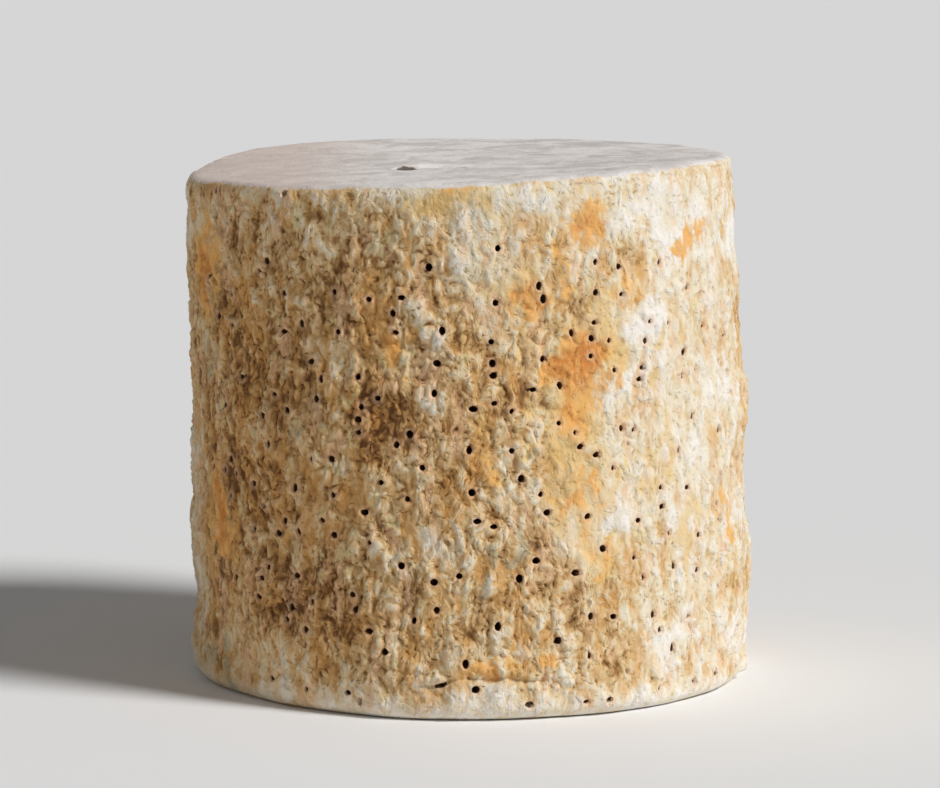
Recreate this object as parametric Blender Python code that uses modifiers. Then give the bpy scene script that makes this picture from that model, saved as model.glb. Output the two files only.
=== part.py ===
"""A whole, uncut drum of naturally rinded blue cheese, standing on its flat base.

Metres, +Z up. The origin is the middle of the base, and the best-lit side of the drum faces -Y.
The drum is one piece: a turned profile that is then made as uneven as a hand-filled mould leaves
it, with a lean, a sloping and warped top face, places where the curd has sagged or sunk, and
soft lumps in the wall. The needle holes and the rind's grain are finer than these facets, and
are left to its finish.
"""

import math

import bpy
from mathutils import Vector, noise

MM = 0.001

# The drum.
HEIGHT = 191.5 * MM  # base to the middle of the top face
BASE_RADIUS = 104.4 * MM  # wall, just over the lower edge
TOP_RADIUS = 101 * MM  # wall, just under the upper edge
LOWER_EDGE = 6 * MM  # radius of the rounded lower edge
UPPER_EDGE = 4 * MM  # radius of the rounded upper edge

# How it departs from a true turned shape.
LEAN = -5.4 * MM  # the top face's middle from the base's, along X
TOP_SLOPE_X = 0.026  # rise of the top face towards +X
TOP_SLOPE_Y = 0.012  # and towards +Y
TOP_WARP = 1.1 * MM  # the top face's rise towards front right and back left
TOP_DROOP = 2.6 * MM  # its fall to the -X rim, which is worn rounder than the rest
LUMP_SIZE = 42 * MM  # from one lump in the wall to the next
LUMP_HEIGHT = 1.3 * MM
DENT_SIZE = 15 * MM
DENT_DEPTH = 0.8 * MM
TOP_WAVE_SIZE = 48 * MM
TOP_WAVE_HEIGHT = 0.6 * MM

# Facets.
SEGMENTS = 84  # round the wall
WALL_STEPS = 34  # up the wall
EDGE_STEPS = 4  # round each edge
FACE_RINGS = 5  # from the middle of a face out to its edge
SEAM = 0.00005  # the Screw's ends are merged within this

RIND_COLOUR = (0.61, 0.42, 0.22, 1)
RIND_ROUGHNESS = 0.9

# Places where the curd has sagged outwards, or sunk. Azimuth is in degrees from +X towards +Y.
# The swell starts under the lip, over the lip's depth, and dies away down to the foot.
SAGS = (
    {"azimuth": 4, "half_width": 36, "lip": 0.160, "lip_depth": 0.012, "foot": 0.122, "swell": 1.3 * MM},
    {"azimuth": 1, "half_width": 42, "lip": 0.1135, "lip_depth": 0.005, "foot": 0.066, "swell": 2.2 * MM},
    {"azimuth": -4, "half_width": 44, "lip": 0.062, "lip_depth": 0.014, "foot": 0.028, "swell": 1.7 * MM},
    {"azimuth": -2, "half_width": 46, "lip": 0.032, "lip_depth": 0.020, "foot": -0.03, "swell": -2.2 * MM},
    {"azimuth": 182, "half_width": 34, "lip": 0.122, "lip_depth": 0.010, "foot": 0.086, "swell": -1.8 * MM},
    {"azimuth": 180, "half_width": 40, "lip": 0.074, "lip_depth": 0.016, "foot": 0.038, "swell": 1.5 * MM},
    {"azimuth": 184, "half_width": 32, "lip": 0.042, "lip_depth": 0.010, "foot": 0.020, "swell": -1.4 * MM},
    {"azimuth": 181, "half_width": 42, "lip": 0.020, "lip_depth": 0.008, "foot": -0.03, "swell": 2.0 * MM},
    {"azimuth": 96, "half_width": 52, "lip": 0.084, "lip_depth": 0.008, "foot": 0.030, "swell": 1.8 * MM},
    {"azimuth": 140, "half_width": 36, "lip": 0.152, "lip_depth": 0.006, "foot": 0.104, "swell": 1.5 * MM},
    {"azimuth": 64, "half_width": 30, "lip": 0.136, "lip_depth": 0.012, "foot": 0.100, "swell": -1.4 * MM},
)


def clear_scene():
    for obj in list(bpy.data.objects):
        bpy.data.objects.remove(obj)


def smooth_step(start, end, value):
    """0 before start, 1 after end, and a smooth rise between them. End may be the lower one."""
    share = min(1.0, max(0.0, (value - start) / (end - start)))
    return share * share * (3 - 2 * share)


def drum_profile():
    """(radius, height) from the middle of the top face, out and down the wall, to the base's."""
    points = []
    for ring in range(FACE_RINGS):
        points.append(((TOP_RADIUS - UPPER_EDGE) * ring / FACE_RINGS, HEIGHT))
    for step in range(EDGE_STEPS + 1):
        turn = math.pi / 2 * step / EDGE_STEPS
        radius = TOP_RADIUS - UPPER_EDGE * (1 - math.sin(turn))
        points.append((radius, HEIGHT - UPPER_EDGE * (1 - math.cos(turn))))
    for step in range(1, WALL_STEPS):
        share = step / WALL_STEPS
        radius = TOP_RADIUS + (BASE_RADIUS - TOP_RADIUS) * share
        points.append((radius, HEIGHT - UPPER_EDGE - (HEIGHT - UPPER_EDGE - LOWER_EDGE) * share))
    for step in range(EDGE_STEPS + 1):
        turn = math.pi / 2 * step / EDGE_STEPS
        radius = BASE_RADIUS - LOWER_EDGE * (1 - math.cos(turn))
        points.append((radius, LOWER_EDGE * (1 - math.sin(turn))))
    for ring in range(FACE_RINGS - 1, -1, -1):
        points.append(((BASE_RADIUS - LOWER_EDGE) * ring / FACE_RINGS, 0))
    return points


def turned_drum(name):
    """The profile, turned about +Z by a Screw modifier, as a plain mesh object."""
    points = [(radius, 0, height) for radius, height in drum_profile()]
    edges = [(i, i + 1) for i in range(len(points) - 1)]
    profile = bpy.data.meshes.new(name + "_profile")
    profile.from_pydata(points, edges, [])
    lathe = bpy.data.objects.new(name + "_lathe", profile)
    bpy.context.scene.collection.objects.link(lathe)
    screw = lathe.modifiers.new("turn", "SCREW")
    screw.steps = SEGMENTS
    screw.render_steps = SEGMENTS
    screw.use_merge_vertices = True
    screw.merge_threshold = SEAM
    graph = bpy.context.evaluated_depsgraph_get()
    mesh = bpy.data.meshes.new_from_object(lathe.evaluated_get(graph))
    bpy.data.objects.remove(lathe)
    bpy.data.meshes.remove(profile)
    mesh.name = name
    return bpy.data.objects.new(name, mesh)


def sag(azimuth, height):
    """How far the sagged and sunk places push the wall out here."""
    swell = 0
    for place in SAGS:
        off = (azimuth - math.radians(place["azimuth"]) + math.pi) % math.tau - math.pi
        reach = math.radians(place["half_width"])
        if abs(off) >= reach:
            continue
        across = (1 + math.cos(math.pi * off / reach)) / 2
        fullest = place["lip"] - place["lip_depth"]
        below_lip = smooth_step(place["lip"], fullest, height)
        above_foot = smooth_step(place["foot"], fullest, height)
        swell += place["swell"] * across * below_lip * above_foot
    return swell


def lumps(point, size, height):
    """Soft unevenness, with about this size from one lump to the next, and up to this height."""
    return height * noise.noise(point / size)


def top_rise(point):
    """How far the top face lies above its own middle here."""
    slope = TOP_SLOPE_X * point.x + TOP_SLOPE_Y * point.y
    warp = -2 * TOP_WARP * point.x * point.y / TOP_RADIUS**2
    droop = TOP_DROOP * smooth_step(-0.78 * TOP_RADIUS, -1.04 * TOP_RADIUS, point.x)
    wave = lumps(point + Vector((0, 0, HEIGHT)), TOP_WAVE_SIZE, TOP_WAVE_HEIGHT)
    return slope + warp - droop + wave


def uneven(point):
    """Where a point of the true turned drum lies on the real, hand-made one."""
    azimuth = math.atan2(point.y, point.x)
    out = Vector((math.cos(azimuth), math.sin(azimuth), 0))
    up_share = point.z / HEIGHT
    wall_share = smooth_step(0, BASE_RADIUS, math.hypot(point.x, point.y))
    swell = sag(azimuth, point.z)
    swell += lumps(point, LUMP_SIZE, LUMP_HEIGHT)
    swell += lumps(point, DENT_SIZE, DENT_DEPTH)
    moved = point + out * swell * wall_share
    moved.x += LEAN * up_share
    moved.z += top_rise(point) * up_share
    return moved


def stand_on_origin(mesh):
    """Puts the middle of the drum's box over the origin. Its base is already at height 0."""
    for axis in (0, 1):
        places = [vertex.co[axis] for vertex in mesh.vertices]
        middle = (min(places) + max(places)) / 2
        for vertex in mesh.vertices:
            vertex.co[axis] -= middle


def rind_material():
    material = bpy.data.materials.new("rind")
    material.use_nodes = True
    shader = material.node_tree.nodes["Principled BSDF"]
    shader.inputs["Base Color"].default_value = RIND_COLOUR
    shader.inputs["Roughness"].default_value = RIND_ROUGHNESS
    shader.inputs["Metallic"].default_value = 0
    return material


def main():
    clear_scene()
    drum = turned_drum("cheese_wheel")
    for vertex in drum.data.vertices:
        vertex.co = uneven(vertex.co.copy())
    stand_on_origin(drum.data)
    drum.data.materials.append(rind_material())
    drum.data.shade_smooth()
    collection = bpy.data.collections.new("cheese_wheel")
    bpy.context.scene.collection.children.link(collection)
    collection.objects.link(drum)


main()
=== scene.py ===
"""A whole drum of blue cheese with its natural rind, pierced all round, on a pale studio floor."""

import math
import random

import bmesh
import bpy
import numpy as np
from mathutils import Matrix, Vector


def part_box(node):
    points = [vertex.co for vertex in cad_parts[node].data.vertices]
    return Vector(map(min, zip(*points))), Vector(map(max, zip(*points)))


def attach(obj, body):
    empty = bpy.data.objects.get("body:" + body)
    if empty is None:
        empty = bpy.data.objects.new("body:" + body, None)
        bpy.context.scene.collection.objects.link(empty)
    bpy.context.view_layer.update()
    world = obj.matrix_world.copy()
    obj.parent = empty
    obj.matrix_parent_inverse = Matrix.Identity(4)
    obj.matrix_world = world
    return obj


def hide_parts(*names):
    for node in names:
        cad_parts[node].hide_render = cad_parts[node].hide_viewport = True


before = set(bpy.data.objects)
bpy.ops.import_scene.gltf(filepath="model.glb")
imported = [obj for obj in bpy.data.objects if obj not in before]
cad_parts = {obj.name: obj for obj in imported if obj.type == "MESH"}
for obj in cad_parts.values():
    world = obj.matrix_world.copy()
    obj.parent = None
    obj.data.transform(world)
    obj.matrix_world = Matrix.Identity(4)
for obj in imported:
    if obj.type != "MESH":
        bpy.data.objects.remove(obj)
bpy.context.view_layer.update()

MM = 0.001
WHEEL_LOW, WHEEL_HIGH = (Vector(corner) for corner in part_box("cheese_wheel"))
WHEEL_HEIGHT = WHEEL_HIGH.z - WHEEL_LOW.z
WHEEL_MIDDLE = (WHEEL_LOW + WHEEL_HIGH) / 2
WHEEL_RADIUS = (WHEEL_HIGH.x - WHEEL_LOW.x) / 2

SKIN_VOXEL = 0.6 * MM
MOST_RIND_TRIANGLES = 196_000


# ---------------------------------------------------------------- node sums


class Wire:
    """The output of a node. Sums on it add Math nodes to its tree."""

    def __init__(self, bench, socket):
        self.bench = bench
        self.socket = socket

    def maths(self, operation, *values, clamp=False):
        settings = {"operation": operation, "use_clamp": clamp}
        return self.bench.node("ShaderNodeMath", settings, dict(enumerate(values)))

    def __add__(self, other):
        return self.maths("ADD", self, other)

    def __radd__(self, other):
        return self.maths("ADD", other, self)

    def __sub__(self, other):
        return self.maths("SUBTRACT", self, other)

    def __rsub__(self, other):
        return self.maths("SUBTRACT", other, self)

    def __mul__(self, other):
        return self.maths("MULTIPLY", self, other)

    def __rmul__(self, other):
        return self.maths("MULTIPLY", other, self)

    def __truediv__(self, other):
        return self.maths("DIVIDE", self, other)

    def __pow__(self, other):
        return self.maths("POWER", self, other)

    def __abs__(self):
        return self.maths("ABSOLUTE", self)

    def least(self, other):
        return self.maths("MINIMUM", self, other)

    def clamped(self):
        return self.maths("ADD", self, 0, clamp=True)

    def rise(self, start, end):
        """0 below start and 1 over end, smoothly. With start over end it falls instead."""
        low, high, from_value, to_value = (start, end, 0, 1) if start < end else (end, start, 1, 0)
        ends = {"Value": self, 1: low, 2: high, 3: from_value, 4: to_value}
        return self.bench.node("ShaderNodeMapRange", {"interpolation_type": "SMOOTHSTEP"}, ends)


class Bench:
    """A node tree to add nodes to."""

    def __init__(self, tree):
        self.tree = tree

    def node(self, kind, settings=None, inputs=None, out=0):
        """Adds a node: its settings first, then the values or wires of its sockets."""
        made = self.tree.nodes.new(kind)
        for name, value in (settings or {}).items():
            if name == "stops":
                set_stops(made.color_ramp, value)
            else:
                setattr(made, name, value)
        for name, value in (inputs or {}).items():
            if isinstance(value, Wire):
                self.tree.links.new(value.socket, made.inputs[name])
            else:
                made.inputs[name].default_value = value
        return Wire(self, made.outputs[out])

    def mix(self, share, first, second, blend="MIX"):
        """A colour between first and second."""
        settings = {"data_type": "RGBA", "blend_type": blend, "clamp_factor": True}
        return self.node("ShaderNodeMix", settings, {0: share, 6: first, 7: second}, out=2)

    def scaled(self, place, by):
        """The place, times a number along each axis."""
        settings = {"operation": "MULTIPLY"}
        return self.node("ShaderNodeVectorMath", settings, {0: place, 1: by})

    def shifted(self, place, by):
        settings = {"operation": "ADD"}
        return self.node("ShaderNodeVectorMath", settings, {0: place, 1: by})

    def noise(self, place, size, detail=2.0, rough=0.5, bend=0.0):
        """Soft noise, about 0 to 1, with this size in metres from one lump to the next."""
        values = {"Vector": place, "Scale": 1 / size, "Detail": detail, "Roughness": rough}
        values["Distortion"] = bend
        return self.node("ShaderNodeTexNoise", {"noise_dimensions": "3D"}, values)


def set_stops(ramp, stops):
    while len(ramp.elements) < len(stops):
        ramp.elements.new(1)
    for element, (place, colour) in zip(ramp.elements, stops):
        element.position = place
        element.color = colour


def paint(red, green, blue):
    """A screen colour, 0 to 255 each, as the linear colour that a shader takes."""
    linear = []
    for part in (red, green, blue):
        part /= 255
        linear.append(part / 12.92 if part <= 0.04045 else ((part + 0.055) / 1.055) ** 2.4)
    return (*linear, 1)


# ---------------------------------------------------------------- workshop helpers


def deselect_all():
    for obj in list(bpy.context.selected_objects):
        obj.select_set(False)


def take_up(obj):
    """Makes this the one selected, active object."""
    deselect_all()
    obj.select_set(True)
    bpy.context.view_layer.objects.active = obj


def apply_modifier(obj, kind, **settings):
    take_up(obj)
    modifier = obj.modifiers.new(kind.lower(), kind)
    for name, value in settings.items():
        setattr(modifier, name, value)
    bpy.ops.object.modifier_apply(modifier=modifier.name)


def settle(obj):
    """Puts the object's place into its mesh."""
    take_up(obj)
    bpy.ops.object.transform_apply(location=True, rotation=True, scale=True)


def triangles(mesh):
    mesh.calc_loop_triangles()
    return len(mesh.loop_triangles)


def trim_fins(mesh):
    """Deletes the slivers that thinning leaves standing on an edge by one side."""
    work = bmesh.new()
    work.from_mesh(mesh)
    fins = [f for f in work.faces if sum(e.is_boundary for e in f.edges) >= 2]
    bmesh.ops.delete(work, geom=fins, context="FACES")
    work.to_mesh(mesh)
    work.free()


def remove(*objects):
    for obj in objects:
        mesh = obj.data
        bpy.data.objects.remove(obj)
        bpy.data.meshes.remove(mesh)


# ---------------------------------------------------------------- the bare form


def bare_wheel():
    """The drum's own form, close-meshed and smooth, with no grain or holes."""
    deselect_all()
    bpy.ops.mesh.primitive_cylinder_add(
        vertices=128,
        radius=WHEEL_RADIUS,
        depth=WHEEL_HEIGHT,
        location=WHEEL_MIDDLE,
        end_fill_type="NGON",
    )
    wheel = bpy.context.object
    wheel.name = "bare_wheel"
    settle(wheel)
    bpy.ops.object.mode_set(mode="EDIT")
    bpy.ops.mesh.select_all(action="DESELECT")
    bpy.ops.object.mode_set(mode="OBJECT")
    for edge in wheel.data.edges:
        ends = [wheel.data.vertices[index].co.z for index in edge.vertices]
        edge.select = abs(ends[0] - ends[1]) < 0.1 * MM
    bpy.ops.object.mode_set(mode="EDIT")
    bpy.ops.mesh.bevel(offset=4 * MM, segments=4, affect="EDGES")
    bpy.ops.object.mode_set(mode="OBJECT")
    apply_modifier(wheel, "REMESH", mode="VOXEL", voxel_size=SKIN_VOXEL)
    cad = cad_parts["cheese_wheel"]
    apply_modifier(
        wheel, "SHRINKWRAP", target=cad, wrap_method="NEAREST_SURFACEPOINT", wrap_mode="ON_SURFACE"
    )
    apply_modifier(wheel, "SMOOTH", factor=0.5, iterations=30)
    return wheel


# ---------------------------------------------------------------- needle holes

HOLE_ROWS = (8, 24, 37, 49, 60, 71, 82, 94, 105, 116, 128, 139, 150, 161, 184)  # mm over the base
HOLES_A_ROW = 40
HOLE_CHANCE = (0.6, 0.7, 0.9, 0.85, 0.9, 0.85, 0.9, 0.8, 0.9, 0.85, 0.9, 0.8, 0.7, 0.5, 0.2)
HOLE_RADIUS = 1.4 * MM
HOLE_DEPTH = 7 * MM
LEAST_HOLE_GAP = 3.9 * MM

# The short split in the top face, and the crease that runs on from it towards +X.
CRACK_PLACE = (-23 * MM, -38 * MM)
CRACK_SLOPE = 0.12
CRACK_HALF_LENGTH = 4.5 * MM
CRACK_HALF_WIDTH = 3.0 * MM
CREASE_LENGTH = 40 * MM

# A flake of rind that stands out at the foot.
FLAKE_PLACE = (101.5 * MM, -25.5 * MM, 6 * MM)
FLAKE_HALF_SIZE = 3.2 * MM

# A level crease low on the front: its height over the base, and its ends along X.
FOOT_CREASE_HEIGHT = 14 * MM
FOOT_CREASE_ENDS = (-16, 24)  # mm


def wall_point(surface, turn, height):
    """(place, normal) on the wall. The turn is in degrees from the front, to the right."""
    angle = math.radians(turn)
    out = Vector((math.sin(angle), -math.cos(angle), 0))
    start = Vector((WHEEL_MIDDLE.x, WHEEL_MIDDLE.y, height)) + out * WHEEL_RADIUS * 1.3
    found, place, normal, _ = surface.ray_cast(start, -out)
    return place, normal


def hole_places(surface, dice):
    """Rough rows of holes, with gaps, strays and doubles, as (place, normal)."""
    places = []
    for row, chance in zip(HOLE_ROWS, HOLE_CHANCE):
        start = dice.random()
        for step in range(HOLES_A_ROW):
            if dice.random() > chance:
                continue
            turn = (start + step + dice.uniform(-0.36, 0.36)) * 360 / HOLES_A_ROW
            height = row * MM + dice.gauss(0, 3.4) * MM
            tries = [(turn, height)]
            if dice.random() < 0.12:
                tries.append((turn + dice.uniform(-2.6, 2.6), height - dice.uniform(4, 6) * MM))
            for turn, height in tries:
                height = min(max(height, 6 * MM), WHEEL_HEIGHT - 9 * MM)
                place, normal = wall_point(surface, turn, height)
                if all((place - other).length > LEAST_HOLE_GAP for other, _ in places):
                    places.append((place, normal))
    return places


def one_needle():
    """A tapered needle, its tip down the hole and its other end proud of the rind."""
    deselect_all()
    bpy.ops.mesh.primitive_cone_add(
        vertices=10,
        radius1=HOLE_RADIUS * 0.6,
        radius2=HOLE_RADIUS * 1.1,
        depth=HOLE_DEPTH + 3 * MM,
        location=(0, 0, 1.5 * MM - HOLE_DEPTH / 2),
    )
    needle = bpy.context.object
    needle.name = "needle"
    settle(needle)
    return needle


def needles_at(places, dice):
    """A needle at each place, leaning and out of round a little, all joined."""
    pattern = one_needle()
    copies = []
    for place, normal in places:
        copy = pattern.copy()
        copy.data = pattern.data.copy()
        bpy.context.collection.objects.link(copy)
        wide = dice.uniform(0.78, 1.16)
        oval = dice.uniform(0.82, 1.2)
        lean = Vector([dice.uniform(-0.16, 0.16) for _ in range(3)])
        copy.rotation_mode = "QUATERNION"
        copy.rotation_quaternion = (normal + lean).to_track_quat("Z", "Y")
        copy.scale = (wide * oval, wide / oval, dice.uniform(0.7, 1.1))
        copy.location = place
        copies.append(copy)
    remove(pattern)
    deselect_all()
    for copy in copies:
        copy.select_set(True)
    bpy.context.view_layer.objects.active = copies[0]
    bpy.ops.object.join()
    joined = bpy.context.object
    joined.name = "needles"
    settle(joined)
    return joined


def marker_points(name, places):
    """A mesh of bare points, for distances to be measured from."""
    mesh = bpy.data.meshes.new(name)
    mesh.from_pydata([tuple(place) for place in places], [], [])
    points = bpy.data.objects.new(name, mesh)
    bpy.context.collection.objects.link(points)
    return points


# ---------------------------------------------------------------- the rind's grain


def folds(bench, place, size, detail=1.0):
    """Rounded lumps, 1 at their tops, that meet in sharp creases, 0 at their bottoms."""
    return (abs(bench.noise(place, size, detail, 0.5) * 2 - 1) * 2.8).rise(0, 1)


def grain(bench, place):
    """(wrinkles, knobs, pits) of the rind, each about 0 to 1."""
    drift = bench.node(
        "ShaderNodeTexNoise", {"noise_dimensions": "3D"}, {"Vector": place, "Scale": 110.0}, out=1
    )
    bent = bench.shifted(place, bench.scaled(drift, (0.009, 0.009, 0.009)))
    upright = bench.scaled(bent, (1, 1, 0.6))
    wrinkles = folds(bench, upright, 8 * MM, 2)
    knobs = folds(bench, upright, 2.9 * MM, 1)
    pits = bench.noise(bent, 1.9 * MM, 2, 0.6).rise(0.45, 0.3)
    return wrinkles, knobs, pits


def geometry_tree(name):
    tree = bpy.data.node_groups.new(name, "GeometryNodeTree")
    tree.interface.new_socket("Geometry", in_out="INPUT", socket_type="NodeSocketGeometry")
    tree.interface.new_socket("Geometry", in_out="OUTPUT", socket_type="NodeSocketGeometry")
    return Bench(tree)


def hand_on(bench, geometry):
    """Ends a geometry tree."""
    end = bench.tree.nodes.new("NodeGroupOutput")
    bench.tree.links.new(geometry.socket, end.inputs[0])


def object_geometry(bench, obj):
    return bench.node("GeometryNodeObjectInfo", {}, {"Object": obj}, out=4)


def part_of(bench, vector, axis):
    return bench.node("ShaderNodeSeparateXYZ", {}, {0: vector}, out=axis)


def named(bench, name, kind="FLOAT"):
    """A stored value, in a geometry tree."""
    return bench.node("GeometryNodeInputNamedAttribute", {"data_type": kind}, {"Name": name})


def top_crack(bench, place):
    """(hollow, lip) of the short split in the top face, and of the crease that runs on from it."""
    across_x = part_of(bench, place, 0) - CRACK_PLACE[0]
    across_y = part_of(bench, place, 1) - CRACK_PLACE[1] - across_x * CRACK_SLOPE
    across_y = across_y + (bench.noise(place, 9 * MM, 2) - 0.5) * 4 * MM
    lens = ((across_x / CRACK_HALF_LENGTH) ** 2 + (across_y / CRACK_HALF_WIDTH) ** 2).rise(1.1, 0.25)
    run = (across_x / MM).rise(-3, 3) * (across_x / MM).rise(CREASE_LENGTH / MM, 8)
    crease = abs(across_y / MM).rise(1.5, 0.2) * run
    behind = across_y / MM - 3.4
    lip = behind.rise(-2.2, 0) * behind.rise(5, 0)
    lip = lip * (across_x / MM).rise(-8, -2) * (across_x / MM).rise(CREASE_LENGTH / MM, 4)
    return lens * 2.6 + crease * 0.5, lip


def foot_crease(bench, place):
    """1 along the level crease low on the front, and 0 elsewhere."""
    across = part_of(bench, place, 0) / MM
    front = (part_of(bench, place, 1) / MM).rise(-90, -96)
    wander = (bench.noise(place, 12 * MM, 2) - 0.5) * 7
    off = abs((part_of(bench, place, 2) - FOOT_CREASE_HEIGHT) / MM + wander)
    start, end = FOOT_CREASE_ENDS
    return off.rise(1.6, 0.2) * across.rise(start - 6, start) * across.rise(end + 6, end) * front


def push_out(hole_points):
    """Raises the wrinkles, knobs and lips of holes on the wall, and a faint unevenness on top."""
    bench = geometry_tree("push_out")
    skin = bench.node("NodeGroupInput")
    place = bench.node("GeometryNodeInputPosition")
    normal = bench.node("GeometryNodeInputNormal")
    height = part_of(bench, place, 2) / WHEEL_HEIGHT
    facing_up = part_of(bench, normal, 2)
    wrinkles, knobs, pits = grain(bench, place)
    hole = bench.node(
        "GeometryNodeProximity",
        {"target_element": "POINTS"},
        {0: object_geometry(bench, hole_points)},
        out=1,
    )
    lip = hole.rise(3.4 * MM, 1.9 * MM)
    rough = bench.noise(place, 34 * MM, 2).rise(0.3, 0.7) * 0.5 + 0.7
    rough = rough * (1 - (named(bench, "bloom") * 0.6).least(0.65))
    edge_calm = height.rise(0.985, 0.9) * 0.5 + 0.5
    foot_calm = height.rise(0.0, 0.07) * 0.5 + 0.5
    wall = facing_up.rise(0.75, 0.25) * facing_up.rise(-0.95, -0.4)
    swells = bench.noise(place, 15 * MM, 1) * 2.4 - 1.2
    crust = wrinkles * 1.3 + knobs * 0.55 - pits * 0.6 - 0.9
    off = bench.node("ShaderNodeVectorMath", {"operation": "DISTANCE"}, {0: place, 1: FLAKE_PLACE}, out=1)
    flake = (off + (knobs - 0.5) * 1.4 * MM).rise(FLAKE_HALF_SIZE, FLAKE_HALF_SIZE * 0.4)
    wall_rise = swells + crust * rough * edge_calm * foot_calm + lip * 0.3 + flake * 2.2
    wall_rise = wall_rise - foot_crease(bench, place) * 1.6
    hollow, crack_lip = top_crack(bench, place)
    top_rise = bench.noise(place, 20 * MM, 3, 0.5) * 1.1 + bench.noise(place, 7 * MM, 2) * 0.5 - 0.8
    top_rise = top_rise - hollow + crack_lip * 1.2
    top = facing_up.rise(0.5, 0.95)
    rise = (wall_rise * wall + top_rise * top) * MM
    away = bench.node("ShaderNodeVectorMath", {"operation": "SCALE"}, {0: normal, "Scale": rise})
    moved = bench.node("GeometryNodeSetPosition", {}, {"Geometry": skin, "Offset": away})
    hand_on(bench, moved)
    return bench.tree


def measure(bare, hole_points):
    """Stores where each point lies on the bare form, how far out of it, and how near a hole."""
    bench = geometry_tree("measure")
    rind = bench.node("NodeGroupInput")
    place = bench.node("GeometryNodeInputPosition")
    bare_mesh = object_geometry(bench, bare)

    def on_bare(value):
        return bench.node(
            "GeometryNodeSampleNearestSurface",
            {"data_type": "FLOAT_VECTOR"},
            {"Mesh": bare_mesh, "Value": value, "Sample Position": place},
        )

    spot = on_bare(bench.node("GeometryNodeInputPosition"))
    out = on_bare(bench.node("GeometryNodeInputNormal"))
    away = bench.node("ShaderNodeVectorMath", {"operation": "SUBTRACT"}, {0: place, 1: spot})
    height = bench.node("ShaderNodeVectorMath", {"operation": "DOT_PRODUCT"}, {0: away, 1: out}, out=1)
    hole = bench.node(
        "GeometryNodeProximity",
        {"target_element": "POINTS"},
        {0: object_geometry(bench, hole_points), "Source Position": spot},
        out=1,
    )
    for name, kind, value in (
        ("spot", "FLOAT_VECTOR", spot),
        ("proud", "FLOAT", height / MM),
        ("hole", "FLOAT", hole / MM),
        ("up", "FLOAT", part_of(bench, out, 2)),
    ):
        rind = bench.node(
            "GeometryNodeStoreNamedAttribute",
            {"data_type": kind, "domain": "POINT"},
            {"Geometry": rind, "Name": name, "Value": value},
        )
    hand_on(bench, rind)
    return bench.tree


# ---------------------------------------------------------------- patches of colour

# Turn in degrees from the front to the right, height over the base, half-width and half-height
# in mm, and strength.
PATCHES = {
    "orange": (
        (24, 127, 14, 13, 1.15),
        (20, 116, 8, 7, 0.95),
        (20, 102, 6, 8, 0.7),
        (28, 174, 6, 7, 0.9),
        (27, 184, 5, 5, 0.5),
        (15, 150, 7, 5, 0.95),
        (20, 153, 6, 6, 0.8),
        (33, 146, 7, 6, 0.8),
        (11, 140, 6, 5, 0.8),
        (-67, 154, 9, 17, 1.1),
        (-60, 72, 9, 18, 1.1),
        (-15, 130, 5, 6, 0.95),
        (2, 20, 6, 4, 0.9),
        (15, 21, 13, 3, 0.7),
        (22, 80, 8, 15, 0.85),
        (4, 92, 5, 16, 0.65),
        (-5, 39, 5, 4, 0.7),
        (24, 58, 7, 8, 0.6),
        (50, 164, 7, 9, 0.8),
        (66, 59, 4, 13, 0.7),
        (-6, 185, 9, 5, 0.65),
        (58, 83, 3, 22, 0.5),
    ),
    "yellow": (
        (-4, 186, 12, 6, 0.8),
        (19, 100, 11, 13, 0.6),
        (22, 76, 12, 16, 0.6),
        (28, 95, 8, 12, 0.6),
        (47, 65, 4, 18, 1.0),
        (43, 96, 6, 26, 0.7),
        (43, 128, 5, 12, 0.6),
        (38, 20, 8, 10, 0.4),
        (8, 158, 9, 8, 0.5),
        (30, 140, 14, 10, 0.6),
        (12, 110, 8, 10, 0.4),
    ),
    # Brown patches: partly the rind's own brown, partly painted shade. The broad ones on the left, at
    # turns -38 to -60, darken that side as painted shade.
    "brown": (
        (-20, 98, 10, 24, 1.0),
        (-38, 36, 24, 15, 0.8),
        (-46, 118, 26, 40, 0.5),
        (-1, 93, 9, 26, 0.55),
        (-30, 60, 16, 13, 0.6),
        (-22, 150, 20, 18, 0.45),
        (8, 112, 7, 18, 0.4),
        (-60, 40, 14, 18, 0.5),
        (-52, 95, 48, 80, 0.75),
        (6, 38, 14, 10, 0.4),
    ),
    "bloom": (
        (51, 171, 24, 18, 1.1),
        (35, 137, 8, 11, 1.0),
        (28, 112, 8, 9, 0.9),
        (27, 69, 9, 13, 0.9),
        (-8, 65, 8, 7, 0.8),
        (42, 25, 13, 10, 1.0),
        (6, 168, 16, 14, 0.5),
        (3, 150, 7, 9, 0.4),
        (-35, 84, 14, 16, 0.3),
        (-55, 14, 24, 8, 0.6),
        (13, 182, 24, 9, 0.7),
        (62, 118, 14, 44, 0.5),
        (40, 120, 10, 40, 0.5),
        (70, 20, 20, 14, 0.7),
        (76, 6, 5, 5, 1.2),
        (52, 110, 40, 100, 0.6),
        (46, 181, 44, 9, 1.0),
    ),
    "green": (
        (12, 63, 6, 6, 0.9),
        (-40, 100, 11, 12, 0.4),
        (-62, 12, 16, 7, 0.7),
        (3, 44, 9, 5, 0.5),
        (-70, 118, 6, 22, 0.4),
    ),
}
# Height over the base, half-height in mm and strength of bands that run all the way round.
BANDS = {"bloom": ((1, 8, 0.75), (191, 6, 0.5))}
FIRST_UNSEEN_TURN = 78
UNSEEN_PATCHES = {"orange": 16, "yellow": 9, "brown": 16, "bloom": 24, "green": 8}


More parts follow.
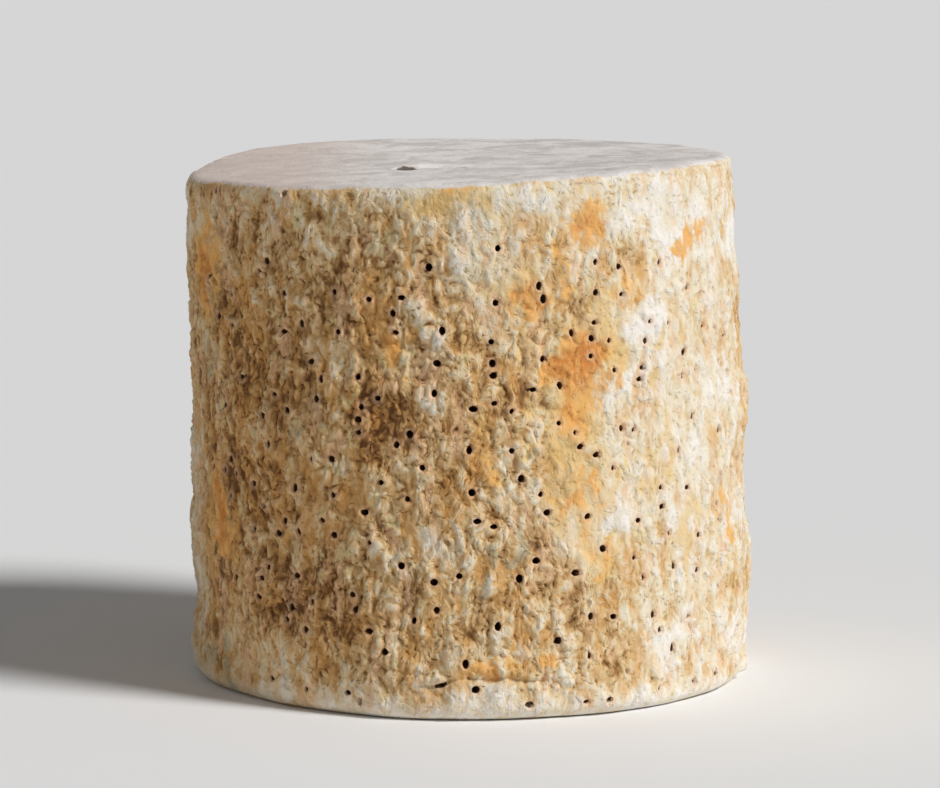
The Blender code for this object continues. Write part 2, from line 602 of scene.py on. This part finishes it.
def all_patches(kind):
    """The kind's patches, and more like them round the back."""
    dice = random.Random("patches of " + kind)
    patches = list(PATCHES[kind])
    for _ in range(UNSEEN_PATCHES[kind]):
        wide, high, strength = dice.choice(PATCHES[kind])[2:]
        turn = dice.uniform(FIRST_UNSEEN_TURN, 360 - FIRST_UNSEEN_TURN)
        grow = dice.uniform(0.8, 1.25)
        patches.append((turn, dice.uniform(8, 186), wide * grow, high * grow, strength))
    return patches


def points_of(mesh, name, field):
    points = np.empty(len(mesh.vertices) * 3, np.float32)
    mesh.attributes[name].data.foreach_get(field, points)
    return points.reshape(-1, 3)


def pulled_about(turn, height):
    """The turn and height, bent this way and that, so that patches come out ragged."""
    round_it = np.radians(turn)
    return (
        turn + 2.4 * np.sin(round_it * 15 + height / 8) + 1.3 * np.sin(round_it * 34 - height / 3.1),
        height + 4 * np.sin(round_it * 17 - height / 9) + 2.2 * np.sin(round_it * 31 + height / 3.7),
    )


def stain(mesh, spots):
    """Stores how strongly each kind of patch shows at each point, from its spot on the bare form."""
    turn = np.degrees(np.arctan2(spots[:, 0] - WHEEL_MIDDLE.x, WHEEL_MIDDLE.y - spots[:, 1]))
    height = spots[:, 2] / MM
    degrees_to_mm = math.radians(1) * WHEEL_RADIUS / MM
    bent_turn, bent_height = pulled_about(turn, height)
    for kind in PATCHES:
        share = np.zeros(len(spots), np.float32)
        for at, up, wide, high, strength in all_patches(kind):
            at, up = pulled_about(at, up)
            off = (bent_turn - at + 180) % 360 - 180
            far = (off * degrees_to_mm / wide) ** 2 + ((bent_height - up) / high) ** 2
            share = np.maximum(share, strength * np.exp(-far * 0.7))
        for up, high, strength in BANDS.get(kind, ()):
            share = np.maximum(share, strength * np.exp(-(((height - up) / high) ** 2) * 0.7))
        if kind in mesh.attributes:
            mesh.attributes.remove(mesh.attributes[kind])
        mesh.attributes.new(kind, "FLOAT", "POINT").data.foreach_set("value", share)


# ---------------------------------------------------------------- the wheel


def rinded_wheel():
    dice = random.Random(41)
    bare = bare_wheel()
    stain(bare.data, points_of(bare.data, "position", "vector"))
    places = hole_places(bare, dice)
    needles = needles_at(places, dice)
    hole_points = marker_points("hole_points", [place for place, _ in places])

    wheel = bare.copy()
    wheel.data = bare.data.copy()
    bpy.context.collection.objects.link(wheel)
    wheel.name = "rinded_wheel"
    wheel.data.name = "rinded_wheel"
    apply_modifier(wheel, "NODES", node_group=push_out(hole_points))
    apply_modifier(wheel, "BOOLEAN", operation="DIFFERENCE", solver="MANIFOLD", object=needles)
    ratio = MOST_RIND_TRIANGLES / triangles(wheel.data)
    apply_modifier(wheel, "DECIMATE", ratio=ratio, use_collapse_triangulate=True)
    trim_fins(wheel.data)
    apply_modifier(wheel, "NODES", node_group=measure(bare, hole_points))
    stain(wheel.data, points_of(wheel.data, "spot", "vector"))
    wheel.data.shade_smooth()
    remove(bare, needles, hole_points)
    return wheel


def attribute(bench, name, out=2):
    return bench.node("ShaderNodeAttribute", {"attribute_name": name}, out=out)


TONES = (
    (0.0, paint(108, 74, 38)),
    (0.2, paint(156, 116, 68)),
    (0.38, paint(198, 160, 108)),
    (0.52, paint(220, 191, 144)),
    (0.66, paint(229, 212, 179)),
    (0.82, paint(234, 224, 203)),
    (1.0, paint(240, 234, 225)),
)
# Painted shade for the insides of the needle holes.
HOLE_SHADE = paint(80, 50, 26)
ORANGE = paint(236, 176, 98)
RUST = paint(206, 120, 44)
YELLOW = paint(228, 192, 122)
STRAW = paint(226, 212, 158)
GREEN = paint(158, 156, 132)
PEACH = paint(234, 192, 154)
OCHRE = paint(212, 158, 88)
TAN = paint(250, 224, 188)
LILAC = paint(238, 232, 228)
GREY = paint(206, 199, 194)
WHITE = paint(244, 240, 234)
PINK = paint(210, 190, 178)
SHADE = paint(92, 78, 70)


def rind_material():
    material = bpy.data.materials.new("natural_rind")
    material.use_nodes = True
    tree = material.node_tree
    bench = Bench(tree)
    shader = tree.nodes["Principled BSDF"]
    spot = attribute(bench, "spot", 1)
    proud = attribute(bench, "proud")
    hole = attribute(bench, "hole")
    up = attribute(bench, "up")
    patch = {kind: attribute(bench, kind) for kind in PATCHES}
    wrinkles, knobs, pits = grain(bench, spot)
    drips = bench.scaled(spot, (1, 1, 0.6))
    large = bench.noise(spot, 30 * MM, 2) - 0.5
    clumps = bench.noise(drips, 8 * MM, 4, 0.6, 0.6) - 0.5
    specks = bench.noise(drips, 3.4 * MM, 2, 0.55, 0.3) - 0.5
    grit = bench.noise(spot, 1.3 * MM, 2, 0.6) - 0.5
    tall = bench.scaled(bench.shifted(spot, (0.3, 0.1, 0.2)), (1, 1, 0.35))
    hues = bench.noise(tall, 9 * MM, 3, 0.6, 0.4)

    calm = 1 - (patch["bloom"] * 0.8 + patch["orange"] * 0.6 + patch["yellow"] * 0.6).least(0.7)
    # Painted shade and light that follow the grain: the tone is darker in pits and creases and lighter on
    # knob tops. This is partly the rind's own browner crevices and partly painted shade.
    relief_and_pit_shade = (knobs * 0.2 + wrinkles * 0.24 - pits * 0.2 + specks * 0.8 + grit * 0.22 - 0.22) * calm
    # The brown patches darken the tone here and tint it tan below; on the left side this is painted
    # shade.
    tone = patch["bloom"] * 0.46 - patch["brown"] * 0.3 + large * 0.6
    tone = tone + clumps * (calm * 0.5 + 0.6) + relief_and_pit_shade + 0.57
    colour = bench.node("ShaderNodeValToRGB", {"stops": TONES}, {0: tone})
    middle = tone.rise(0.0, 0.3) * tone.rise(1.05, 0.65)
    colour = bench.mix(hues.rise(0.52, 0.66) * middle * 0.55, colour, PEACH)
    colour = bench.mix(hues.rise(0.5, 0.36) * middle * 0.6, colour, OCHRE)
    colour = bench.mix((patch["brown"] * 0.65).clamped(), colour, TAN, "MULTIPLY")
    fray = clumps * 2.4 + specks * 1.5
    ragged = bench.noise(bench.shifted(drips, (0.2, 0.5, 0.1)), 7 * MM, 4, 0.65, 0.8) - 0.5
    straw = (ragged + specks * 0.5).rise(0.1, 0.22)
    colour = bench.mix(straw * 0.6, colour, STRAW)
    yellow = (patch["yellow"] + patch["orange"] * 0.9 + ragged * 2.2 + specks).rise(0.3, 0.8)
    colour = bench.mix(yellow * 0.6, colour, YELLOW)
    orange = (patch["orange"] + ragged * 2.4 + specks * 1.0).rise(0.42, 0.95)
    rusty = (patch["orange"] - ragged * 1.5 - relief_and_pit_shade * 2 - specks).rise(0.55, 1.4)
    colour = bench.mix(orange * 0.85, colour, bench.mix(rusty, ORANGE, RUST))
    green = (patch["green"] + fray).rise(0.3, 0.9)
    colour = bench.mix(green * 0.6, colour, GREEN)
    lip = hole.rise(3.2, 1.8)
    colour = bench.mix(lip * 0.35, colour, PEACH)
    # Painted shade: the insides of the needle holes are darkened to a deep brown.
    hole_shade = proud.rise(-0.5, -1.3) * hole.rise(2.6, 2.0)
    colour = bench.mix(hole_shade, colour, HOLE_SHADE)

    top = (up + clumps * 0.5).rise(0.6, 0.85)
    blotches = bench.noise(bench.shifted(spot, (0.7, 0.2, 0.4)), 16 * MM, 5, 0.62, 0.8)
    lid = bench.mix(blotches.rise(0.36, 0.62), GREY, LILAC)
    lid = bench.mix(ragged.rise(0.05, 0.3) * 0.6, lid, WHITE)
    lid = bench.mix((specks + grit * 0.6).rise(-0.16, -0.3) * 0.5, lid, OCHRE)
    hollow, _ = top_crack(bench, spot)
    lid = bench.mix((part_of(bench, spot, 0) / MM).rise(-25, -75) * 0.7, lid, PINK)
    lid = bench.mix(hollow.rise(0.02, 0.5) * 0.9, lid, SHADE)
    colour = bench.mix(top, colour, lid)
    tree.links.new(colour.socket, shader.inputs["Base Color"])

    fine = knobs * 0.15 + specks * 0.9 + grit * 0.4 - pits * 0.35
    amount = fine * (calm * 0.5 + 0.5) * (1 - top * 0.6)
    bump = bench.node("ShaderNodeBump", {}, {"Height": amount * MM, "Distance": 1.0, "Strength": 0.9})
    tree.links.new(bump.socket, shader.inputs["Normal"])
    shader.inputs["Roughness"].default_value = 0.85
    shader.inputs["Specular IOR Level"].default_value = 0.3
    return material


# ---------------------------------------------------------------- studio


def look_at(obj, place, target):
    obj.location = place
    obj.rotation_euler = (Vector(target) - Vector(place)).to_track_quat("-Z", "Y").to_euler()


def sunlight(name, turn, rise, power, softness, tint=(1, 1, 1)):
    """Even light from a turn in degrees from the front to the right, and a rise over level."""
    lamp = bpy.data.lights.new(name, "SUN")
    lamp.energy = power
    lamp.angle = math.radians(softness)
    lamp.color = tint
    obj = bpy.data.objects.new(name, lamp)
    bpy.context.collection.objects.link(obj)
    turn, rise = math.radians(turn), math.radians(rise)
    place = (math.sin(turn) * math.cos(rise), -math.cos(turn) * math.cos(rise), math.sin(rise))
    look_at(obj, place, (0, 0, 0))


def studio():
    sunlight("key", 62, 40, 2.75, 16)
    sunlight("fill", -50, 20, 0.12, 60)
    world = bpy.data.worlds.new("studio")
    bpy.context.scene.world = world
    world.use_nodes = True
    bench = Bench(world.node_tree)
    sky = world.node_tree.nodes["Background"]
    seen = bench.node("ShaderNodeLightPath", out=0)
    glossy = bench.node("ShaderNodeLightPath", out=3)
    through = bench.node("ShaderNodeLightPath", out=6)
    plain = (seen + glossy + through).clamped()
    bench.tree.links.new((plain * 0.83 + 0.17).socket, sky.inputs["Strength"])
    sky.inputs["Color"].default_value = (0.9, 0.9, 0.9, 1)


def pale_floor():
    deselect_all()
    bpy.ops.mesh.primitive_plane_add(size=60, location=(0, 0, 0))
    floor = bpy.context.object
    floor.name = "floor"
    settle(floor)
    material = bpy.data.materials.new("pale_floor")
    material.use_nodes = True
    shader = material.node_tree.nodes["Principled BSDF"]
    shader.inputs["Base Color"].default_value = (0.92, 0.92, 0.92, 1)
    shader.inputs["Roughness"].default_value = 1
    shader.inputs["Specular IOR Level"].default_value = 0
    floor.data.materials.append(material)


def camera():
    lens = bpy.data.cameras.new("camera")
    lens.sensor_width = 36
    lens.lens = 159.9
    lens.clip_start = 0.05
    obj = bpy.data.objects.new("camera", lens)
    bpy.context.collection.objects.link(obj)
    obj.location = (0.0002, -1.55, 0.305)
    obj.rotation_euler = (math.radians(90 - 7.41), 0, 0)
    bpy.context.scene.camera = obj


def main():
    wheel = rinded_wheel()
    wheel.data.materials.clear()
    wheel.data.materials.append(rind_material())
    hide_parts("cheese_wheel")
    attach(wheel, "root")
    camera()
    studio()
    pale_floor()
    bpy.context.scene.view_settings.view_transform = "Standard"


main()
